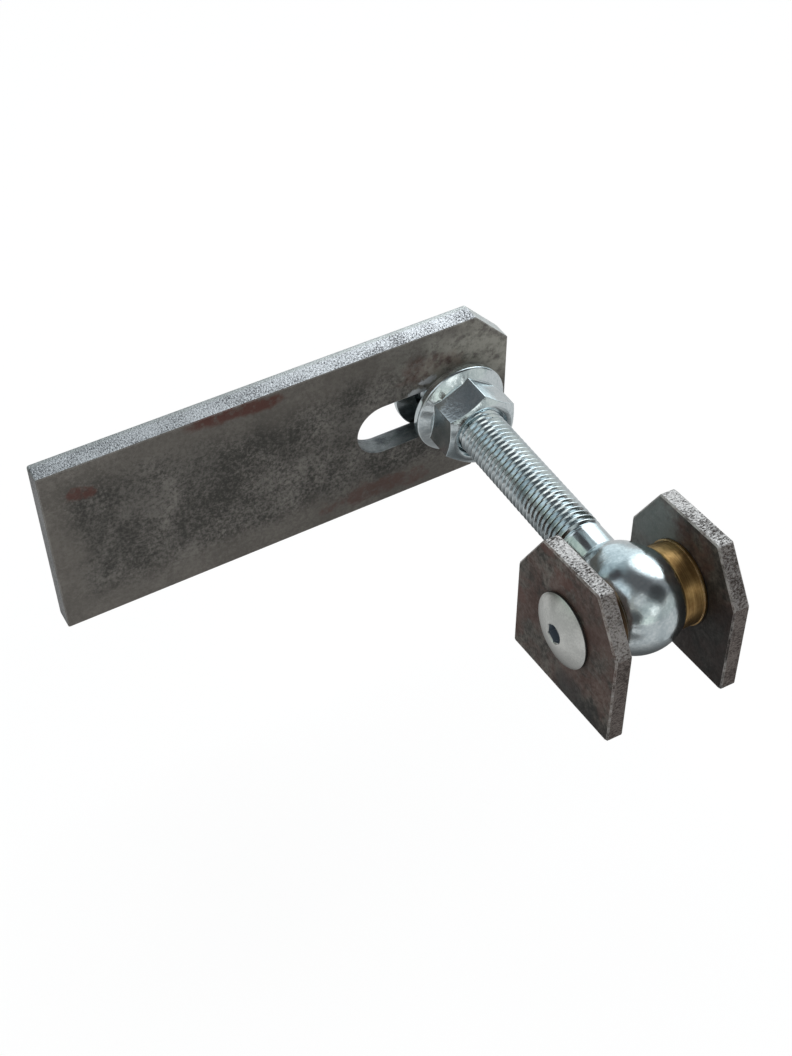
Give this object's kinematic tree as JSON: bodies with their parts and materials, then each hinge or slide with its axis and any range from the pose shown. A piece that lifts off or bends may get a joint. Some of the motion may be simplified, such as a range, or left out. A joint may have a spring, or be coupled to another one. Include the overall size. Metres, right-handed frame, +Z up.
{
  "type": "adjustable gate hinge",
  "caption": "Adjustable gate hinge: slotted steel plate, zinc eye bolt held by flange nuts, ball eye turning on a pin screw between weld-on lugs with bronze bushes.",
  "frame": {"origin": "centre of the plate's flat back face, the face that lies on the gate", "axes": "+Y is the back face's outward normal, +X runs along the plate towards the slot's end, +Z up the plate's height; the eye bolt reaches towards -Y"},
  "size_m": [0.2034, 0.1919, 0.08],
  "materials": {
    "plate_steel": "bare rolled steel with mill scale, bright sheared edge, small rust stains",
    "lug_steel": "bare rolled steel with mill scale and rust, bright cut edge",
    "bolt_zinc": "bright bluish zinc plating",
    "nut_zinc": "bright bluish zinc plating",
    "bush_bronze": "dark bronze, turned",
    "pin_steel": "satin plated steel"
  },
  "bodies": {
    "gate_plate": {"mounting_plate": "plate_steel"},
    "slot_carriage": {"rear_nut": "nut_zinc"},
    "bolt": {"eye_bolt": "bolt_zinc", "near_bush": "bush_bronze", "far_bush": "bush_bronze"},
    "turning_nut": {"front_nut": "nut_zinc"},
    "post_side": {"hinge_pin": "pin_steel", "near_lug": "lug_steel", "far_lug": "lug_steel"}
  },
  "joints": [
    {"name": "slot_slide", "type": "slide", "parent": "gate_plate", "child": "slot_carriage", "axis": [1, 0, 0], "range_m": [-0.0324, 0.0016]},
    {"name": "front_nut_turn", "type": "hinge", "parent": "slot_carriage", "child": "turning_nut", "pos_m": [0.0744, -0.0236, 0.0015], "axis": [0, -1, 0], "range_deg": [-376, 10098]},
    {"name": "bolt_feed", "type": "slide", "parent": "slot_carriage", "child": "bolt", "axis": [0, 1, 0], "range_m": [-0.0026, 0.0701]},
    {"name": "eye_swing", "type": "hinge", "parent": "bolt", "child": "post_side", "pos_m": [0.0744, -0.1368, 0.0015], "axis": [-0.9987, 0, 0.0506], "range_deg": [-4.5, 175.5]}
  ],
  "couplings": [
    {"joint": "front_nut_turn", "follows": "bolt_feed", "rad_per_m": 2513.3}
  ]
}
